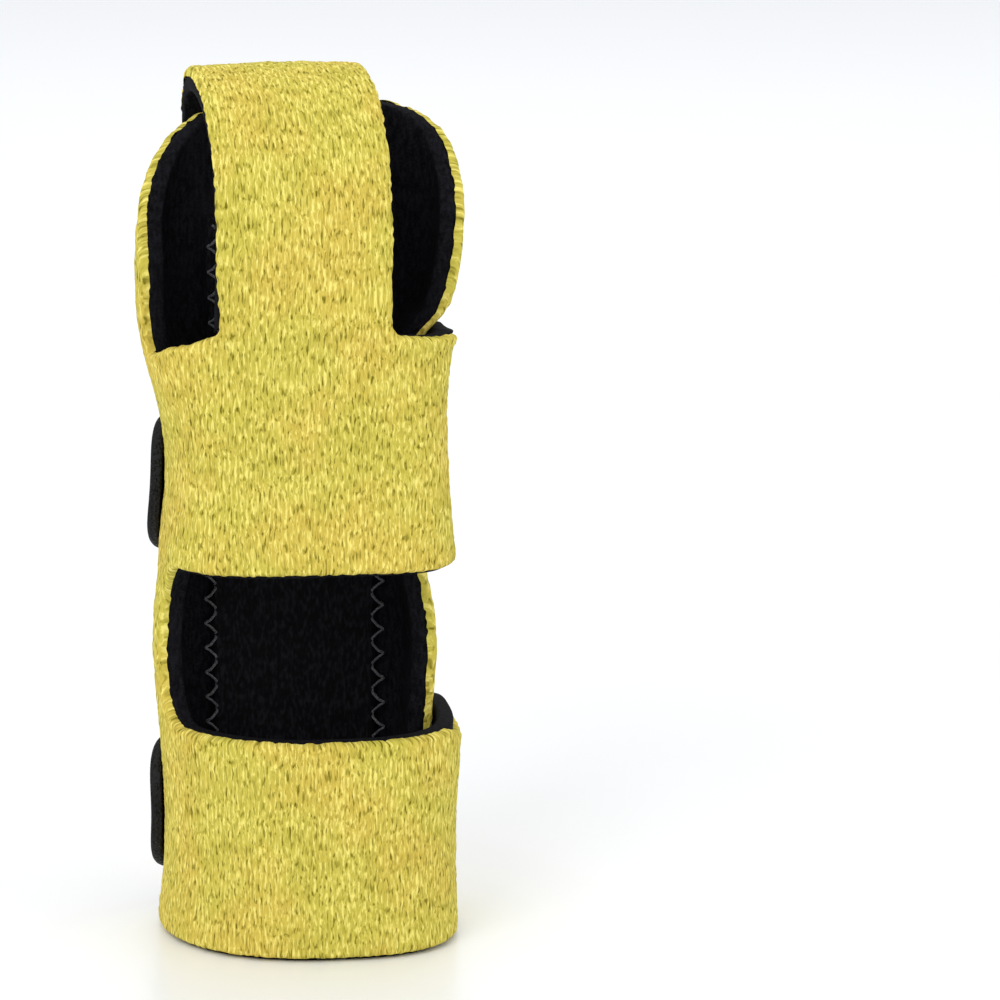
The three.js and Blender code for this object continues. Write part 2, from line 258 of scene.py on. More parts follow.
class Finish:
    """A material under way: its nodes, and the shader that they feed."""

    def __init__(self, name, **uniform):
        self.material = bpy.data.materials.new(name)
        self.material.use_nodes = True
        self.tree = self.material.node_tree
        self.shader = self.tree.nodes["Principled BSDF"]
        for socket, value in uniform.items():
            self.shader.inputs[socket.replace("_", " ")].default_value = value

    def add(self, kind, settings, inputs, output=0):
        """Add a node of a kind with its settings, then its sockets' values or links."""
        node = self.tree.nodes.new("ShaderNode" + kind)
        for setting, value in settings.items():
            setattr(node, setting, value)
        for socket, value in inputs.items():
            if isinstance(value, Reading):
                self.tree.links.new(value.socket, node.inputs[socket])
            else:
                node.inputs[socket].default_value = value
        return Reading(self, node.outputs[output])

    def maths(self, operation, *values):
        return self.add("Math", {"operation": operation}, dict(enumerate(values)))

    def blend(self, factor, first, second):
        """Colour between two colours by a factor."""
        return self.add("Mix", {"data_type": "RGBA"}, {0: factor, 6: first, 7: second}, 2)

    def noise(self, place, scale, detail=2.0, output=0, roughness=0.5):
        return self.add("TexNoise", {"noise_dimensions": "3D"}, {
            "Vector": place, "Scale": scale, "Detail": detail, "Roughness": roughness}, output)

    def point(self, x, y, z=0.0):
        return self.add("CombineXYZ", {}, {0: x, 1: y, 2: z})

    def parts(self, vector):
        """First two parts of a vector."""
        node = self.add("SeparateXYZ", {}, {0: vector}).socket.node
        return [Reading(self, node.outputs[i]) for i in range(2)]

    def feed(self, **sockets):
        for socket, reading in sockets.items():
            self.tree.links.new(reading.socket, self.shader.inputs[socket.replace("_", " ")])
        return self.material


loop_cloth = Finish("loop_cloth", Roughness=0.95, Specular_IOR_Level=0.12)
u, v = loop_cloth.parts(loop_cloth.add("UVMap", {"uv_map": "cloth"}, {}))
u, v = u * 100, v * 100
drift_u, drift_v = loop_cloth.parts(
    loop_cloth.noise(loop_cloth.point(u, v), 0.3, 1.0, output=1))
shake_u, shake_v = loop_cloth.parts(
    loop_cloth.noise(loop_cloth.point(u, v * 0.5), 1.2, 1.0, output=1))
wavy_u = u + (drift_u - 0.5) * 0.28 + (shake_u - 0.5) * 0.1
wavy_v = v + (drift_v - 0.5) * 1.5 + (shake_v - 0.5) * 0.8
# Loops: upright streaks of brushed fibre over wales, and the thin slits that open between
# loops where both are low. Besides the bump, the colour has painted shade in the slits and
# low fibres and a painted highlight on the high fibres
WALE_PITCH = 0.54
wales = loop_cloth.maths("SINE", wavy_u * (2 * pi / WALE_PITCH))
fibres = loop_cloth.noise(loop_cloth.point(wavy_u, wavy_v * 0.2), 4.2, 3.0, roughness=0.62)
tufts = loop_cloth.noise(loop_cloth.point(wavy_u + 31, wavy_v * 0.26), 4.0, 1.0)
slits = (tufts - wales * 0.05).step(0.47, 0.33)
worn = loop_cloth.noise(loop_cloth.point(u, v), 0.25, 3.0)
relief = (fibres - 0.5) * 1.9 + wales * 0.12 - slits * 0.5 + 0.5
# Where the painted shade and painted highlight fall: the relief, moved by slow random tone
shade_and_highlight_tone = relief + (worn - 0.5) * 0.5
warm = loop_cloth.noise(loop_cloth.point(u + 57, v), 0.11, 2.0).step(0.38, 0.66)
ground = loop_cloth.blend(warm, (0.60, 0.515, 0.078, 1), (0.66, 0.50, 0.082, 1))
# Painted shade: dark olive where the relief is low, as in the slits between loops
cloth_colour = loop_cloth.blend(shade_and_highlight_tone.step(-0.35, 0.45), (0.17, 0.145, 0.006, 1), ground)
# Painted highlight: pale yellow on the highest fibres
cloth_colour = loop_cloth.blend(shade_and_highlight_tone.step(0.42, 0.85), cloth_colour, (0.95, 0.82, 0.21, 1))
cloth_bump = loop_cloth.add("Bump", {}, {"Strength": 0.6, "Distance": 0.00018,
                                         "Height": relief})
LOOP_CLOTH = loop_cloth.feed(Base_Color=cloth_colour, Normal=cloth_bump)


def rim_height(turn):
    """Upper outline of the panel: RIM_ROOT + rise (1 - away^n)^(1/n)."""
    away = np.minimum(np.abs(turn - BACK_TURN) / HEAD_TURN, 1)
    n = np.where(turn > BACK_TURN, RIM_LEFT, RIM_RIGHT)
    return RIM_ROOT + (RIM - RIM_ROOT) * (1 - away ** n) ** (1 / n)


def steepness(height, place):
    """How much longer an edge is than its run, root of 1 + slope^2, at most 3."""
    return np.minimum(np.sqrt(1 + np.gradient(height, place) ** 2), 3)


WINDOW_LOW, WINDOW_HIGH = LOWER_TOP + LOW_CORNER, UPPER_FOOT - HIGH_CORNER + REVEAL
LEFT_SHOULDER = UPPER_TOP - LEFT_DROP


def left_distance(inwards, z):
    """Distance from the panel's free left edge, beside the window and the head. Below and
    above the window a band goes on from the panel, past its own round corner."""
    below = round_corner(inwards, WINDOW_LOW - z, LOW_CORNER)
    above = round_corner(inwards, z - WINDOW_HIGH, HIGH_CORNER)
    head = np.hypot(inwards, np.maximum(LEFT_SHOULDER - z, 0))
    return np.where(z < MID_WINDOW, below, np.where(z < MID_BAND, above, head))


def cloth_surface(turns, z, flat_u, thick, edge):
    """Outer skin of the fabric: the sleeve's surface, as thick as the pinched edges leave
    it, raised by the pile. Loops at the edges stand out by a ragged amount."""
    raised = pile(flat_u, z) * thick
    ragged = edge * RAGGED * hills(flat_u, z, 0.42, 0.5, 41)
    depth = LINING + SEAT - SUNK + (FABRIC + SUNK) * thick + raised + ragged
    return on_sleeve(turns[:, None], z + ragged, depth, lift(turns)[:, None])


crowd = EDGE_SOFT * (1 - np.cos(np.linspace(0, pi / 2, 6)))
run, turns = run_round(PANEL_FIRST, PANEL_LAST, PANEL_LEVEL, lambda whole: np.concatenate([
    crowd[:-1], np.linspace(EDGE_SOFT, whole - EDGE_SOFT, int(whole / 0.225)),
    whole - crowd[::-1][1:]]))
rim = rim_height(turns)
z, from_low, from_high = rows_between(np.full_like(turns, REVEAL), rim, np.ones_like(turns),
                                      steepness(rim, run), 0.23)
flat_u = flat_run(turns, z, -1)
left = near(left_distance(run[-1] - run[:, None], z))
edge = near(from_low) + near(from_high), near(run[:, None]) + left
thick = pinch(*edge)
panel_fabric = lay_grid("panel_loop_fabric",
                        cloth_surface(turns, z, flat_u, thick, np.maximum(*edge)), (flat_u, z))
panel_fabric.data.materials.append(LOOP_CLOTH)
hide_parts("back_panel_fabric")

# ---- Lower and upper bands, loop fabric ----
# Two bands of the same laminate grow out of the panel's left edge, cross the front, turn
# round the right side outside the panel and narrow over the back to their hook tabs. Round
# corners lead from them into the window's edge and into the tip strap.


def corner(distance, radius):
    """Rise of a round inside corner: radius - root of radius^2 - (radius - distance)^2."""
    inside = np.clip(distance, 0, radius)
    return radius - np.sqrt(radius ** 2 - (radius - inside) ** 2)


def off_strap(turn):
    """Distance from the strap's side at the upper band's top, less than 0 under it."""
    x = on_sleeve(turn, np.full_like(turn, UPPER_TOP), LAMINATE, lift(turn))[..., 0]
    return np.abs(x - STRAP_CENTRE) - STRAP_WIDTH / 2, x


def shoulder(turn):
    """Upper edge of the upper band: its shoulders fall away from the strap by the left or
    right drop, from a root that rises at the front."""
    outside, x = off_strap(turn)
    drop = np.where((x < STRAP_CENTRE) & (turn < 360), LEFT_DROP, RIGHT_DROP)
    fall = drop * smooth(outside, 0, (PANEL_WIDTH - STRAP_WIDTH) / 2)
    rise = ROOT_RISE * smooth(turn, PANEL_LAST, 218) * (1 - smooth(turn, 335, 385))
    bend = corner(outside, STRAP_FILLET - ROOT_RISE)
    return UPPER_TOP + rise - np.where(turn < 360, fall - bend, drop)


def lower_edges(turn):
    """Lower band's outline: level, with a corner that rises to the window's edge."""
    return 0 * turn, LOWER_TOP + corner((turn - PANEL_LAST) / turn_of(1), LOW_CORNER)


def upper_edges(turn):
    """Upper band's outline: a corner that falls to the window's edge, and the shoulders."""
    foot = UPPER_FOOT - corner((turn - PANEL_LAST) / turn_of(1), HIGH_CORNER)
    return foot, shoulder(turn)


# Each band's outline, the height of its tab, and how far the lining shows past the fabric's
# upper edge round the right side
BANDS = {"lower": (lower_edges, LOWER_TOP / 2 + 0.3),
         "upper": (upper_edges, (UPPER_FOOT + UPPER_TOP) / 2 - 4.9)}
RIGHT_REVEAL = {"lower": 1.5, "upper": 0.85}


def band_edges(which, turn, reveal):
    """Low and high edge: the band's own outline, drawn in to the tab over the back."""
    edges, middle = BANDS[which]
    low, high = edges(turn)
    share = smooth(turn, 360, BAND_END)
    half = TAB_HEIGHT / 2 + SEAT
    return (low + (middle - half - low) * share + reveal,
            high + (middle + half - high) * share)


def low_distance(turn, z, straight):
    """Distance from the lower band's top edge, round its corner beside the window."""
    past = (turn - PANEL_LAST) / turn_of(1)
    bend = round_corner(-past, LOWER_TOP + LOW_CORNER - z, LOW_CORNER)
    return np.where(past < LOW_CORNER, bend, straight)


def foot_distance(turn, z, straight):
    """Distance from the upper band's lower edge, round its corner above the window."""
    past = (turn - PANEL_LAST) / turn_of(1)
    bend = round_corner(-past, z - (UPPER_FOOT + REVEAL - HIGH_CORNER), HIGH_CORNER)
    return np.where(past < HIGH_CORNER, bend, straight)


def root_distance(turn, z, high, straight):
    """Distance from the upper band's top edge, round the corners up to the strap."""
    outside, _ = off_strap(turn)
    radius = STRAP_FILLET - ROOT_RISE
    centre = high - corner(outside, radius) + radius
    bend = round_corner(-outside, centre - z, radius)
    return np.where((outside < radius) & (turn > 200) & (turn < 350), bend, straight)


for which, level, flat_size, flat_area in (("lower", 11, (0.0264, 0.0768), 0.00148),
                                           ("upper", 52, (0.0288, 0.0731), 0.00148)):
    run, turns = run_round(PANEL_LAST, BAND_END, level, lambda whole: np.concatenate([
        np.linspace(0, whole - EDGE_SOFT, int(whole / 0.16)), whole - crowd[::-1][1:]]))
    low, high = band_edges(which, turns, REVEAL)
    high = high - RIGHT_REVEAL[which] * smooth(turns, 322, 350) * (1 - smooth(turns, 372, 400))
    z, from_low, from_high = rows_between(low, high, steepness(low, run),
                                          steepness(high, run), 0.165)
    if which == "lower":
        from_high = low_distance(turns[:, None], z, from_high)
    else:
        from_low = foot_distance(turns[:, None], z, from_low)
        from_high = root_distance(turns[:, None], z, high[:, None], from_high)
    flat_u = flat_run(turns, z, 0)
    # The cloth's columns stand upright at the middle of the front
    ahead = turns < 330
    level_x = on_sleeve(turns[:, None], z, LAMINATE)[ahead, :, 0]
    front = np.array([np.interp(0.0, level_x[:, k], flat_u[ahead, k])
                      for k in range(z.shape[1])])
    flat_u = flat_u - smooth(turns, PANEL_LAST, 255)[:, None] * (front - front.mean())
    top_course = on_sleeve(turns, z[:, -1], LAMINATE, lift(turns))
    edge = near(from_low) + near(from_high), near(run[-1] - run[:, None])
    thick = pinch(*edge)
    band_points = cloth_surface(turns, z, flat_u, thick, np.maximum(*edge))
    band = lay_grid(f"{which}_band_loop_fabric", band_points, (flat_u, z))
    band.data.materials.append(LOOP_CLOTH)
    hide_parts(f"{which}_band_fabric")

# ---- Tip strap, loop fabric ----
# The strap goes on from the upper band, leans back over the fingertip and hooks on to the
# back of the head. The same cloth and columns as the band below it; its long edges curl in.
# Its path: shares of the way back and of the way up, then its bow and its drift to the left
# as shares of its width
STRAP_PATH = np.array([
    (0, 0, 0.05, 0), (0.025, 0.38, 0.04, -0.015), (0.13, 0.7, 0.03, -0.015),
    (0.36, 0.925, 0.02, 0.008), (0.63, 1, 0.015, 0.035), (0.89, 0.955, 0.02, 0.05),
    (1, 0.79, 0.03, 0.055), (1.01, 0.48, 0.035, 0.055), (1.005, 0.12, 0.035, 0.055)])
ROOT_FADE = 6
front_y = on_sleeve(270.0, UPPER_TOP, LAMINATE, lift(270.0))[1]
back_y = on_sleeve(90.0, RIM, LAMINATE, SEAT)[1] + HOOK + SEAT + LAMINATE
strap_foot = UPPER_TOP + STRAP_FILLET + SEAT
knots = np.stack([front_y + (back_y - front_y) * STRAP_PATH[:, 0],
                  strap_foot + (CROWN - strap_foot) * STRAP_PATH[:, 1]], axis=1)


def spline(points, count):
    """Centripetal Catmull-Rom curve through the points, count steps to each span, with its
    length so far and the place between the points that each step has."""
    ends = np.concatenate([[2 * points[0] - points[1]], points, [2 * points[-1] - points[-2]]])
    gap = np.sqrt(np.linalg.norm(np.diff(ends, axis=0), axis=1))[:, None]
    p0, p1, p2, p3 = ends[:-3], ends[1:-2], ends[2:-1], ends[3:]
    d0, d1, d2 = gap[:-2], gap[1:-1], gap[2:]
    m1 = ((p1 - p0) / d0 - (p2 - p0) / (d0 + d1) + (p2 - p1) / d1) * d1
    m2 = ((p2 - p1) / d1 - (p3 - p1) / (d1 + d2) + (p3 - p2) / d2) * d1
    t = np.linspace(0, 1, count, endpoint=False)[:, None, None]
    curve = (p1 + m1 * t + (3 * p2 - 3 * p1 - 2 * m1 - m2) * t ** 2
             + (2 * p1 - 2 * p2 + m1 + m2) * t ** 3)
    curve = np.concatenate([curve.transpose(1, 0, 2).reshape(-1, 2), points[-1:]])
    length = np.concatenate([[0], np.cumsum(np.linalg.norm(np.diff(curve, axis=0), axis=1))])
    return curve, length, np.linspace(0, len(points) - 1, len(curve))


strap_curve, strap_so_far, strap_place = spline(knots, 400)
STRAP_LENGTH = strap_so_far[-1]
strap_way = np.gradient(strap_curve, strap_so_far, axis=0)


def on_strap(across, along, depth):
    """Point of the strap at x = across * half its width and a length along its curve, moved
    inwards by the depth and by bow * across^2 on the curve's normal."""
    y, z = (np.interp(along, strap_so_far, strap_curve[:, k]) for k in (0, 1))
    way_y, way_z = (np.interp(along, strap_so_far, strap_way[:, k]) for k in (0, 1))
    place = np.interp(along, strap_so_far, strap_place)
    bow, drift = (STRAP_WIDTH * np.interp(place, range(len(STRAP_PATH)), STRAP_PATH[:, k])
                  for k in (2, 3))
    inwards = depth + bow * across ** 2
    x = STRAP_CENTRE - drift + across * STRAP_WIDTH / 2
    return np.stack(np.broadcast_arrays(x, y + way_z * inwards, z - way_y * inwards), axis=-1)


# The upper band's top edge under the strap: its course, its place along the cloth, and the
# fabric's last row there
in_front = (turns > 225) & (turns < 318)
root_x, root_y, root_z = top_course[in_front].T
root_u = flat_u[in_front, -1]
root_row = band_points[in_front, -1]


def root_gap(x):
    """From the strap's own foot to the upper band's top edge at the same x."""
    own = on_strap((x - STRAP_CENTRE) * 2 / STRAP_WIDTH, 0.0, 0.0)
    gap_y = np.interp(x, root_x, root_y) - own[..., 1]
    return np.stack([0 * x, gap_y, np.interp(x, root_x, root_z) - own[..., 2]], axis=-1)


half = STRAP_WIDTH / 2
side_run = np.concatenate([crowd[:-1], np.arange(EDGE_SOFT, STRAP_WIDTH - EDGE_SOFT, 0.16),
                           STRAP_WIDTH - crowd[::-1]])
along = np.concatenate([np.arange(0, STRAP_LENGTH - EDGE_SOFT, 0.165),
                        STRAP_LENGTH - crowd[::-1]])
across = (side_run / half - 1)[:, None]
edge = (near(side_run)[:, None] + near(STRAP_WIDTH - side_run)[:, None],
        near(STRAP_LENGTH - along)[None, :])
thick = pinch(*edge)
flat_u = np.interp(STRAP_CENTRE + across[:, 0] * half, root_x, root_u)[:, None]
flat_v = (UPPER_TOP + STRAP_FILLET + along)[None, :]
ragged = np.maximum(*edge) * RAGGED * hills(flat_u, flat_v, 0.42, 0.5, 41)
raised = pile(flat_u, flat_v) * thick + ragged
fade = (1 - smooth(along, 0, ROOT_FADE))[None, :, None]
strap_points = on_strap(across * (1 + ragged / half), along[None, :],
                        (FABRIC + SUNK) * (1 - thick) - raised)
foot_row = np.stack([np.interp(STRAP_CENTRE + across[:, 0] * half, root_x, root_row[:, k])
                     for k in range(3)], axis=1)
strap_points = strap_points + (foot_row - strap_points[:, 0])[:, None, :] * fade
strap = lay_grid("tip_strap_loop_fabric", strap_points, (flat_u, flat_v))
strap.data.materials.append(LOOP_CLOTH)
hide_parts("tip_strap_fabric")

# ---- Foam lining of panel, bands and strap ----
# Black closed-cell foam with a fine knitted skin, bonded behind the loop fabric and cut with
# it. It shows inside, as a dark edge beside the fabric's, and as a thin line below the bands.
FOAM = LINING + SEAT
CUT = 0.3
LINING_LEVEL = 30


def edge_ring(thickness, radius, rows):
    """Closed section of a flat strip: share of the height, distance from the nearer end and
    depth. Up the outer face, round the top, down the inner face and round the foot."""
    arc = np.linspace(0, pi / 2, 4)
    share = np.linspace(0, 1, rows)
    round_in, round_out = radius * (1 - np.cos(arc)), radius * (1 - np.sin(arc))
    depth = np.concatenate([thickness - round_out, np.full(rows, thickness),
                            thickness - round_out[::-1], round_out,
                            np.zeros(rows), round_out[::-1]])
    inset = np.concatenate([round_in, np.full(rows, radius), round_in[::-1],
                            round_in, np.full(rows, radius), round_in[::-1]])
    part = np.concatenate([0 * arc, share, 0 * arc + 1, 0 * arc + 1, share[::-1], 0 * arc])
    return part, inset, depth


def strip_ring(low, high, ends, thickness, radius, rows):
    """Heights and depths of a closed strip, a ring for each column. Ends gives how much of
    the thickness each column keeps: its depth shrinks to the middle at both ends."""
    part, inset, depth = edge_ring(thickness, radius, rows)
    low, high, ends = low[:, None], high[:, None], ends[:, None]
    z = np.where(part < 0.5, low + inset, high - inset)
    inner_low, inner_high = low + radius, high - radius
    z = np.where((part > 0) & (part < 1) | (inset == radius),
                 inner_low + (inner_high - inner_low) * part, z)
    return z, thickness / 2 + (depth - thickness / 2) * ends


def end_share(run, radius):
    """0 at both ends of a run, 1 a radius inside them, on a quarter circle."""
    t = np.clip(np.minimum(run - run[0], run[-1] - run) / radius, 0, 1)
    return np.sqrt(1 - (1 - t) ** 2)


def closed(piece):
    """Merge the points that meet at a closed strip's ends."""
    shape = bmesh.new()
    shape.from_mesh(piece.data)
    bmesh.ops.remove_doubles(shape, verts=shape.verts, dist=1e-7)
    shape.to_mesh(piece.data)
    shape.free()
    return piece


foam = Finish("lining_foam", Roughness=0.9, Specular_IOR_Level=0.08)
foam_place = foam.add("TexCoord", {}, {}, 3)
grain = foam.noise(foam_place, 4200, 2.0)
knit = foam.noise(foam.add("VectorMath", {"operation": "MULTIPLY"}, {
    0: foam_place, 1: (1, 1, 0.35)}), 2600, 1.0)
cloudy = foam.noise(foam_place, 160, 2.0)
foam_colour = foam.blend((grain * 0.6 + knit * 0.6 - 0.1).step(0.3, 0.75),
                         (0.0015, 0.0015, 0.002, 1), (0.011, 0.011, 0.014, 1))
foam_colour = foam.blend(cloudy.step(0.4, 0.8, 0.0, 0.35), foam_colour,
                         (0.012, 0.012, 0.016, 1))
foam_bump = foam.add("Bump", {}, {"Strength": 0.35, "Distance": 0.0001,
                                  "Height": grain + knit})
LINING_FOAM = foam.feed(Base_Color=foam_colour, Normal=foam_bump)


def lining_run(whole):
    """Places 0.5 mm apart along a lining, crowded at its cut ends."""
    return np.concatenate([CUT * np.linspace(0, 1, 5)[:-1],
                           np.linspace(CUT, whole - CUT, int(whole / 0.5)),
                           whole - CUT * np.linspace(1, 0, 5)[1:]])


run, turns = run_round(PANEL_FIRST, PANEL_LAST, PANEL_LEVEL, lining_run)
z, depth = strip_ring(0 * turns, rim_height(turns), end_share(run, CUT), FOAM, CUT, 110)
panel_lining = closed(lay_grid("panel_foam_lining", on_sleeve(turns[:, None], z, depth),
                               ring=True))
linings = [(panel_lining, "back_panel_lining")]
for which in BANDS:
    run, turns = run_round(PANEL_LAST - turn_of(2 * CUT), BAND_END, LINING_LEVEL, lining_run)
    low, high = band_edges(which, turns, 0)
    z, depth = strip_ring(low, high, end_share(run, CUT), FOAM, CUT, 40)
    lining = closed(lay_grid(f"{which}_band_foam_lining",
                             on_sleeve(turns[:, None], z, depth, lift(turns)[:, None]),
                             ring=True))
    linings.append((lining, f"{which}_band_lining"))

side_run = np.concatenate([CUT * np.linspace(0, 1, 5)[:-1],
                           np.linspace(CUT, STRAP_WIDTH - CUT, 40),
                           STRAP_WIDTH - CUT * np.linspace(1, 0, 5)[1:]])
across = side_run / half - 1
part, inset, depth = edge_ring(FOAM, CUT, 120)
along = np.where(part < 0.5, inset - CUT, STRAP_LENGTH - inset)
along = np.where(inset == CUT, (STRAP_LENGTH - CUT) * part, along)[None, :]
ends = end_share(side_run, CUT)[:, None]
inwards = LAMINATE - (FOAM / 2 + (depth - FOAM / 2) * ends)
gap = root_gap(STRAP_CENTRE + across * half)
fade = (1 - smooth(along, 0, ROOT_FADE))[..., None]
lining_points = on_strap(across[:, None], np.maximum(along, 0), inwards)
lining_points = lining_points + gap[:, None, :] * fade
lining_points[..., 2] += np.minimum(along, 0)
strap_lining = closed(lay_grid("strap_foam_lining", lining_points, ring=True))
linings.append((strap_lining, "tip_strap_lining"))
for lining, node in linings:
    lining.data.materials.append(LINING_FOAM)
    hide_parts(node)

# ---- Hook tabs and hook patch ----
# Rounded tabs of moulded hook tape, sewn under the bands' ends and pressed on to the loops
# of the panel, and a square patch of it under the strap's end. Stiff black nylon with a
# close grid of tiny hooks that catch the light as grey specks.
TAPE_ROUND, PATCH_HEIGHT, PATCH_MARGIN = 0.35, 13, 1.4
hook = Finish("hook_tape", Roughness=0.6, Specular_IOR_Level=0.25)
hook_place = hook.add("TexCoord", {}, {}, 3)
specks = hook.add("TexVoronoi", {"voronoi_dimensions": "3D", "feature": "F1"},
                  {"Vector": hook_place, "Scale": 2300, "Randomness": 0.75})
# Patchy noise for the bump and for where the painted glints show
patchy_bump_and_glint = hook.noise(hook_place, 900, 3.0)
stud = specks.step(0.1, 0.55, 1.0, 0.0)
# Painted glints: the hooks take a grey of (0.02, 0.02, 0.023) in patches, for the light that they
# catch; the tape itself is black
hook_colour = hook.blend(stud * patchy_bump_and_glint.step(0.3, 0.7), (0.002, 0.002, 0.003, 1),
                         (0.02, 0.02, 0.023, 1))
hook_bump = hook.add("Bump", {}, {"Strength": 0.8, "Distance": 0.00025,
                                  "Height": stud + patchy_bump_and_glint * 0.4})
HOOK_TAPE = hook.feed(Base_Color=hook_colour, Normal=hook_bump)

tabs = []
for which, (_, middle) in BANDS.items():
    square = TAB_TIP - turn_of(TAB_CORNER)
    start = BAND_END - turn_of(TAB_LAP)
    tip = square + (TAB_TIP - square) * np.sin(np.linspace(0, 0.985, 40) * pi / 2)
    turns = np.concatenate([np.linspace(start, square, 60)[:-1], tip])
    past = np.clip((turns - square) / (TAB_TIP - square), 0, 1)
    tab_half = TAB_HEIGHT / 2 * np.sqrt(1 - past ** 2)
    z, depth = strip_ring(middle - tab_half, middle + tab_half, end_share(turns, 1.5), HOOK,
                          TAPE_ROUND, 30)
    points = on_sleeve(turns[:, None], z, LAMINATE, SEAT + depth)
    tabs.append((closed(lay_grid(f"{which}_tab_hook_tape", points, ring=True)),
                 f"{which}_hook_tab"))

part, inset, depth = edge_ring(HOOK, TAPE_ROUND, 30)
side_run = np.linspace(PATCH_MARGIN, STRAP_WIDTH - PATCH_MARGIN, 50)
first, last = STRAP_LENGTH - PATCH_HEIGHT - PATCH_MARGIN, STRAP_LENGTH - PATCH_MARGIN
along = np.where(part < 0.5, first + inset, last - inset)
along = np.where(inset == TAPE_ROUND,
                 first + TAPE_ROUND + (last - first - 2 * TAPE_ROUND) * part, along)[None, :]
ends = end_share(side_run, 0.5)[:, None]
inwards = LAMINATE + SEAT + HOOK - (HOOK / 2 + (depth - HOOK / 2) * ends)
patch_points = on_strap((side_run / half - 1)[:, None], along, inwards)
tabs.append((closed(lay_grid("strap_patch_hook_tape", patch_points, ring=True)),
             "strap_hook_patch"))
for tab, node in tabs:
    tab.data.materials.append(HOOK_TAPE)
    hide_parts(node)

# ---- Stay pocket and its seams ----
# A strip of black woven tape down the inside of the back panel, over a flat stay. Two
# zigzag seams of black thread, with painted grey sheen, hold its long edges; each stitch
# dips where the needle went in.
POCKET, POCKET_WIDTH, POCKET_CENTRE = 0.8, 17, -0.2
POCKET_FOOT, POCKET_HEAD = 3, RIM - 11
POCKET_GAP, SEAM_INSET, SEAM_LEAN, THREAD = 0.05, 0.35, 0.8, 0.13


def turn_across(x, z, depth=0.0):
    """Turn at which the surface at a depth on the back stands at x."""
    half_width = (np.where(x < 0, section(z, 1), section(z, 2)) * PANEL_WIDTH / 2
                  - LAMINATE + depth)
    share = np.minimum(np.abs(x) / half_width, 1)
    return 90 - np.sign(x) * (90 - np.degrees(np.arccos(share ** (section(z, 7) / 2))))


side = np.linspace(POCKET_CENTRE + POCKET_WIDTH / 2, POCKET_CENTRE - POCKET_WIDTH / 2, 80)
z, depth = strip_ring(np.full(80, POCKET_FOOT), np.full(80, POCKET_HEAD),
                      end_share(side[::-1], 0.4), POCKET, 0.3, 130)
pocket = closed(lay_grid("pocket_tape",
                         on_sleeve(turn_across(side[:, None], z), z, depth - POCKET - POCKET_GAP),
                         (side[:, None], z), ring=True))
tape = Finish("pocket_cloth", Roughness=0.85, Specular_IOR_Level=0.12)
tape_place = tape.add("TexCoord", {}, {}, 3)
weave = tape.noise(tape.add("VectorMath", {"operation": "MULTIPLY"}, {
    0: tape_place, 1: (1, 1, 0.4)}), 3200, 2.0)
tape_colour = tape.blend(weave.step(0.4, 0.75), (0.0015, 0.0015, 0.002, 1),
                         (0.011, 0.011, 0.014, 1))
tape_bump = tape.add("Bump", {}, {"Strength": 0.4, "Distance": 0.00012, "Height": weave})
POCKET_CLOTH = tape.feed(Base_Color=tape_colour, Normal=tape_bump)
pocket.data.materials.append(POCKET_CLOTH)
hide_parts("stay_pocket")


def thread(path, outward, radius):
    """Tube of six sides along a path: centre + radius (cos a * outward + sin a * side)."""
    way = np.gradient(path, axis=0)
    way /= np.linalg.norm(way, axis=1)[:, None]
    side = np.cross(way, outward)
    side /= np.linalg.norm(side, axis=1)[:, None]
    a = np.linspace(0, 2 * pi, 6, endpoint=False)
    ring = (np.cos(a)[:, None] * outward[:, None, :] + np.sin(a)[:, None] * side[:, None, :])
    return path[:, None, :] + radius * ring


def zigzag(along):
    """Sideways swing from -1 to 1 of a zigzag seam with a stitch each 1.25 mm, and how far
    the thread arches over the cloth: it dips at each needle hole."""
    phase = along / 2.5
    swing = 4 * np.abs(phase - np.floor(phase + 0.5)) - 1
    return np.clip(swing * 1.15, -1, 1), 0.12 - 0.3 * smooth(np.abs(swing), 0.45, 0.95)


yarn = Finish("seam_thread", Roughness=0.6, Sheen_Weight=0.3)
yarn_place = yarn.add("TexCoord", {}, {}, 3)
# Painted sheen: grey flecks of (0.11, 0.11, 0.115) on the black thread, besides the shader's own
# sheen
thread_sheen_flecks = yarn.noise(yarn_place, 7000, 1.0)
yarn_colour = yarn.blend(thread_sheen_flecks.step(0.3, 0.7), (0.02, 0.02, 0.023, 1), (0.11, 0.11, 0.115, 1))
SEAM_THREAD = yarn.feed(Base_Color=yarn_colour)
for name, seam_x, lean in (("left", POCKET_CENTRE - POCKET_WIDTH / 2 + SEAM_INSET, SEAM_LEAN),
                           ("right", POCKET_CENTRE + POCKET_WIDTH / 2 - SEAM_INSET, 0)):
    z = np.arange(POCKET_FOOT + 0.6, POCKET_HEAD - 0.6, 0.1)
    swing, arch = zigzag(z)
    x = seam_x + 0.5 * swing + lean * smooth(z, UPPER_FOOT, RIM_ROOT)
    path = on_sleeve(turn_across(x, z, -POCKET), z, -POCKET - arch)
    beside = on_sleeve(turn_across(x + 0.05, z, -POCKET), z, -POCKET - arch)
    outward = np.cross(beside - path, np.array([0, 0, 1.0]))
    outward /= np.linalg.norm(outward, axis=1)[:, None]
    seam = lay_grid(f"pocket_seam_{name}", thread(path, outward, THREAD), ring=True)
    seam.data.materials.append(SEAM_THREAD)

